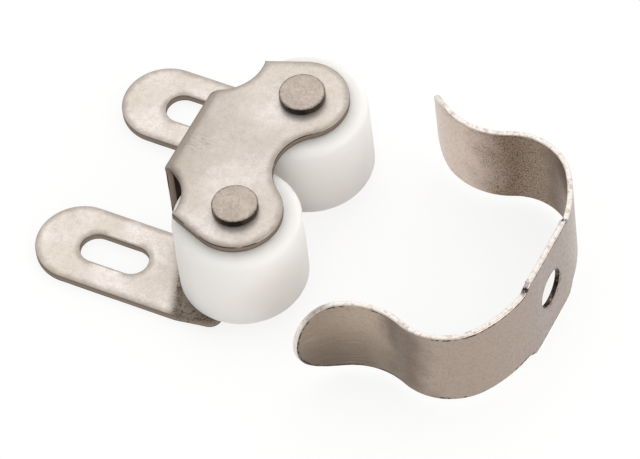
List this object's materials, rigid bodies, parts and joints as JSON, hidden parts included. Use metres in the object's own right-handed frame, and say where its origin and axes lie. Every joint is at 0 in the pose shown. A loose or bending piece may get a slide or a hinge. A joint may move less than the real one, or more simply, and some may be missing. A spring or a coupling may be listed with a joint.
{
  "type": "double roller catch",
  "caption": "Cabinet door catch: a folded sheet bracket holds riveted nylon rollers, and a bent spring strike on the door snaps over them.",
  "frame": {"origin": "midway between the centres of the two screw slots, on the mounting plane under the ears", "axes": "+X from the ears towards the rollers and the strike, +Y towards the left roller, +Z away from the mounting plane along the roller axes"},
  "size_m": [0.0644, 0.0406, 0.0167],
  "materials": {
    "nickel_sheet": "satin nickel plate with bare sheared edges",
    "nylon": "turned natural nylon, milky white",
    "rivet_steel": "dull nickel plate, dark around the rim",
    "spring_steel": "nickel-plated spring steel with fine scratches along the strip"
  },
  "bodies": {
    "catch": {"bracket": "nickel_sheet", "left_rivet": "rivet_steel", "right_rivet": "rivet_steel", "spring_strike": "spring_steel"},
    "left_roller": {"left_roller": "nylon"},
    "right_roller": {"right_roller": "nylon"}
  },
  "joints": [
    {"name": "left_roller_spin", "type": "hinge", "parent": "catch", "child": "left_roller", "pos_m": [0.0169, 0.00925, 0.00825], "axis": [0, 0, 1], "continuous": true},
    {"name": "right_roller_spin", "type": "hinge", "parent": "catch", "child": "right_roller", "pos_m": [0.0169, -0.00925, 0.00825], "axis": [0, 0, 1], "continuous": true}
  ]
}
